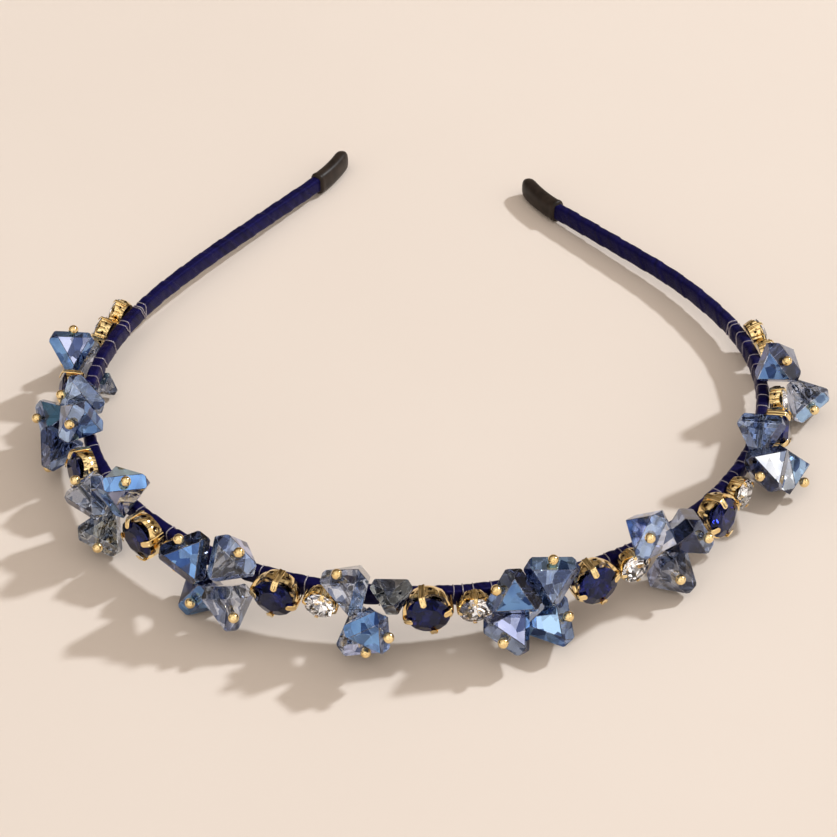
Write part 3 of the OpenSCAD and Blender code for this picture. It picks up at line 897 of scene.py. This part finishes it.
def cup_wall(r, bore, h, folds):
    """Points, faces and hole marks, which paint shade into the holes. The radius swells with a
    quarter sine towards the rim. A fold is a narrow valley where the sine of the fold angle is
    small. The rim dips with the squared cosine of twice the angle, so it is high at the claws. A
    hole is a round dent."""
    w = angles(SIDES)
    smooth_part = np.minimum(1, abs(np.sin(folds * w / 2)) / FOLD_WIDTH) ** 0.7
    rise = 1 - RIM_DIP * np.cos(2 * w) ** 2
    share = (w * HOLES / (2 * math.pi) - 0.5) % 1
    beside = np.minimum(share, 1 - share) * 2 * math.pi / HOLES * r
    rings, holes = [], []

    def ring(radius, z, hole=0.0):
        """Adds a ring of points: radius times the cosine and the sine of the angle, and z."""
        z = np.broadcast_to(z, (SIDES,))
        rings.append(np.stack([radius * np.cos(w), radius * np.sin(w), z], 1))
        holes.append(np.broadcast_to(hole, (SIDES,)))

    for t in np.linspace(0, 1, 15):
        belly = FOOT + (1 - FOOT) * math.sin(min(1.0, t * 1.25) * math.pi / 2)
        fold = (FOLD_DEPTH * r / CUP_RADIUS) * (1 - smooth_part) * (0.35 + 0.65 * t)
        z = h * t * rise
        away = np.hypot(beside, z - h * HOLE_LEVEL)
        dent = np.clip(1 - (away / (HOLE_RADIUS * r)) ** 2, 0, 1)
        # The deep part of each dent gets a mark of painted shade.
        ring((r - WALL_IN) * belly - fold - HOLE_DEPTH * dent, z, (dent > HOLE_MARK) * 1.0)
    # Down the inside, and in to the floor of the cup.
    ring(bore + 0.02, h * rise)
    ring(bore, h * 0.5)
    ring(bore - 0.02, h * 0.2)
    ring(bore * 0.6, h * 0.18)
    marks = [max(a, b) for one, two in zip(holes, holes[1:]) for a, b in zip(one, two)]
    return np.vstack(rings), closed_faces(len(rings), SIDES), marks + [0, 0]


print("a wall has", SIDES, "sides and", HOLES, "holes")

# %% [markdown]
# ## The claws
# Four claws are stamped out with the cup and bent over the stone. They could be extruded from the
# rim, but then the rim's grid would have to grow with them. Here each is a flat bar on the wall
# that follows a short table of bends, and it is thinner in its middle, as a stamped claw is.

# %% Bend the claws and set the cups
CLAWS, CLAW_START = 4, 45
CLAW_THICK, CLAW_GROOVE, CLAW_ROUND = 0.2, 0.75, 0.65
CREASE = math.radians(50)


def cup(r, bore, h, folds, claw, reach):
    """The wall and four claws, with Z along the stone's axis. A claw follows a short table of
    how far it has bent inward and risen above the rim, up to the row that reach names, and its
    end is rounded along a quarter circle."""
    size = r / CUP_RADIUS
    bent = np.array([(0.15, -h + 0.3), (0.02, -h / 2), (0.0, 0.0), (0.02, 0.45 * size),
                     (0.25 * size, 0.72 * size), (0.55 * size, 0.9 * size),
                     (1.1 * size, 1.16 * size), (1.75 * size, 1.46 * size)])
    t = np.linspace(0, reach, 40)
    inward = np.interp(t, np.arange(len(bent)), bent[:, 0])
    height = h + np.interp(t, np.arange(len(bent)), bent[:, 1])
    past = np.clip((t - reach + CLAW_ROUND) / (CLAW_ROUND + 0.01), 0, 1)
    end = np.sqrt(np.clip(1 - past ** 2, 0.03, 1))
    thick = CLAW_THICK * size
    points, faces, marks = cup_wall(r, bore, h, folds)
    parts = [(points, faces)]
    for k in range(CLAWS):
        a = math.radians(CLAW_START + 360 / CLAWS * k)
        path = np.stack([(r - inward) * math.cos(a), (r - inward) * math.sin(a), height], 1)
        parts.append(tube(path, thick * end, 20, flat=claw / thick, groove=CLAW_GROOVE,
                          side_axis=(-math.sin(a), math.cos(a), 0)))
        marks = marks + [0] * len(parts[-1][1])
    return joined(parts), grey(marks)


def cups(name, seats, together, **sizes):
    """Cups of one size, each turned so that its claws stand as its seat says."""
    solid, marks = cup(**sizes)
    spins = [seat.claws - CLAW_START for seat in seats]
    # The hole marks paint shade into the gold where the side holes are.
    made = tie_on(name, "pleated", seats, solid, spins, 0, gold, "gold", {"hole": marks},
                  together, True)
    for piece in made:
        piece.data.set_sharp_from_angle(angle=CREASE)
    return made


settings = cups("navy_cup", NAVY, False, r=4.5, bore=3.8, h=NAVY_CUP_H, folds=4, claw=0.6,
                reach=6.8)
settings += cups("clear_cups", CLEAR, True, r=3.2, bore=2.7, h=CLEAR_CUP_H, folds=12,
                 claw=0.34, reach=6.1)
print("cups:", len(settings), "pieces,", sum(len(o.data.polygons) for o in settings), "faces")

# %% [markdown]
# ## The gold beads
# A drilled bead, 2 mm across, stops the line at the mouth of each nugget's bore. A UV sphere from
# the menu has a pole where the bead has its hole. So the ball is a grid of rings that stops short
# of both poles, and a short cone leads into the hole at each end, which keeps the mesh closed.

# %% Thread the beads
BEAD, HOLE_START, HOLE_END = 1.0, 0.1, 0.6


def ball(radius, n=24, m=14):
    """A sphere with a dimple at each end of its hole, which lies along Y. A point is the radius
    times the sine of u, spread round by w, and the cosine of u along Y."""
    u = np.linspace(HOLE_START, math.pi - HOLE_START, m)
    w = angles(n)
    points = np.stack([np.sin(u)[:, None] * np.cos(w), np.repeat(np.cos(u)[:, None], n, 1),
                       np.sin(u)[:, None] * np.sin(w)], 2).reshape(-1, 3) * radius
    ends = np.array([[0, radius * HOLE_END, 0], [0, -radius * HOLE_END, 0]])
    faces = [f[::-1] for f in grid_faces(m, n)]
    faces += [[(j + 1) % n, j, m * n] for j in range(n)]
    faces += [[(m - 1) * n + j, (m - 1) * n + (j + 1) % n, m * n + 1] for j in range(n)]
    return np.vstack([points, ends]), faces


ball_points, ball_faces = ball(BEAD)
beaded = [(row, *nugget_turn(row)) for row in NUGGETS.values() if row.bead]
beads = [((ball_points + (row.half + BEAD) * UP) @ r.T + centre, ball_faces)
         for row, centre, r in beaded]
make("gold_beads_round", *joined(beads), gold, "gold", ["gold_beads"], True)
print("beads:", len(beads))

# %% [markdown]
# ## The clear line
# A clear line, a quarter of a millimetre thick, ties all stones to the band. Each run could be a
# curve object with a bevel, but dozens are slow to handle. So each is a thin bar, and all are one
# mesh. Two strands pass through each bore and over the bead, and loops of the same
# line go round the ribbon a little aslant. The real crossings and knots can't be followed.

# %% Tie the line
STRAND, STRAND_OUT = 0.1, 0.2
LOOP_LINE, LOOP_PROUD, LOOP_SIDES = 0.12, 0.14, 24
SLANT, SLANT_SWING, SLANT_RATE = 0.3, 0.5, 3.7
strands = []
for row, centre, r in beaded:
    for x in (-STRAND_OUT, STRAND_OUT):
        path = np.array([(x * 2.2, 0, row.half + 1.6), (x * 3.4, 0, row.half + 0.9),
                         (x, 0, row.half + 0.15), (x, 0, 0), (x, 0, -row.half * 0.85)])
        strands.append(tube(path @ r.T + centre, STRAND, 6))
hoop = section(BAND_T + LOOP_PROUD, BAND_H + LOOP_PROUD, CORE_POWER, LOOP_SIDES)
for q in LOOPS:
    mid, along, outward = on_band(q)
    slant = SLANT + SLANT_SWING * math.sin(q * SLANT_RATE)
    path = (mid[0] + hoop[:, :1] * outward[0] + hoop[:, 1:] * UP
            + slant * np.sin(angles(LOOP_SIDES))[:, None] * along[0])
    strands.append(tube(np.vstack([path, path[:2]]), LOOP_LINE, 8, side_axis=tuple(along[0])))
points, faces = joined(strands)
make("clear_line", points, faces, line, "clear_stone", (), True)
print("line:", len(strands), "runs,", len(faces), "faces")

# %% [markdown]
# ## The floor
# The headband lies on a pale, warm surface. It could be a backdrop with a curved corner, but the
# camera sees only the floor. So a large quad is enough, with a slow noise of a few per cent in its
# tone, because an even floor looks drawn.

# %% Floor
HALF = 3
corners = [(-HALF, -HALF, 0), (HALF, -HALF, 0), (HALF, HALF, 0), (-HALF, HALF, 0)]
floor = new_object("floor", corners, [(0, 1, 2, 3)])
floor.data.materials.append(mottled(
    "pale_floor", (0.84, 0.76, 0.68),
    [(0.3, (0.737, 0.645, 0.571)), (0.7, (0.765, 0.674, 0.6))], scale=6.0, detail=6.0,
    Roughness=0.75))
print("floor:", 2 * HALF, "m wide")

# %% [markdown]
# ## The light
# Shadows with a soft edge fall to the left and a little to the front. A sun lamp with an angle
# could make them. A small round area lamp is used instead, far to the right and a little behind,
# because it is set up like a photographer's, by its place and its size.

# %% Light
KEY_SPOT, KEY_SIZE, KEY_POWER, KEY_COLOUR = Vector((2.2, 0.84, 2.02)), 0.22, 70.0, (0.9, 0.95, 1.0)
lamp = bpy.data.lights.new("key", "AREA")
lamp.shape, lamp.size, lamp.energy, lamp.color = "DISK", KEY_SIZE, KEY_POWER, KEY_COLOUR
key = bpy.data.objects.new("key", lamp)
key.location = KEY_SPOT
key.rotation_euler = (-KEY_SPOT).to_track_quat("-Z", "Y").to_euler()
scene.collection.objects.link(key)
print("key lamp:", KEY_POWER, "W")

# %% [markdown]
# ## The surround
# Gold and glass need something bright and something dark to mirror. In a studio lamps and black
# cards do that, and could be modelled. The world's own colour does it without any object: bright
# towards the front and above, darker behind, and broken by dark panels from a slow noise.

# %% Surround
BRIGHT_SIDE, GLOW = (0.1, -0.82, 0.56), 1.24
side_tones = [(0.0, (0.12, 0.1, 0.08)), (0.45, (0.25, 0.21, 0.17)), (0.65, (0.72, 0.69, 0.66)),
              (0.88, (1.15, 1.11, 1.06))]
panel_tones = [(0.44, (0.22, 0.2, 0.18)), (0.51, (1.08, 1.03, 0.98))]
world = bpy.data.worlds.new("surround")
scene.world = world
world.use_nodes = True
n, l = world.node_tree.nodes, world.node_tree.links
way = node(n, "TexCoord").outputs["Generated"]
facing = node(n, "VectorMath", operation="DOT_PRODUCT")
l.new(way, facing.inputs[0])
facing.inputs[1].default_value = BRIGHT_SIDE
share = node(n, "MapRange", **{"From Min": -1.0})
l.new(facing.outputs["Value"], share.inputs["Value"])
panels = pattern(n, l, "TexNoise", way, Scale=4.6, Detail=1.0)
glow = multiply(n, l, ramp(n, l, share.outputs["Result"], side_tones),
                ramp(n, l, panels.outputs["Fac"], panel_tones))
l.new(glow, n["Background"].inputs["Color"])
n["Background"].inputs["Strength"].default_value = GLOW
print("surround:", len(n), "nodes")

# %% [markdown]
# ## How light is traced
# Light goes through many faces in a cluster of glass. With few bounces the inner facets would turn
# black, and with focused caustics the floor would be full of noise. So there are many bounces
# through glass and no caustics. The Standard view leaves the tones as they are.

# %% Bounces and view
scene.view_settings.view_transform = "Standard"
scene.cycles.max_bounces = 14
scene.cycles.transmission_bounces = 12
scene.cycles.glossy_bounces = 6
scene.cycles.caustics_reflective = False
scene.cycles.caustics_refractive = False
print("bounces:", scene.cycles.max_bounces)
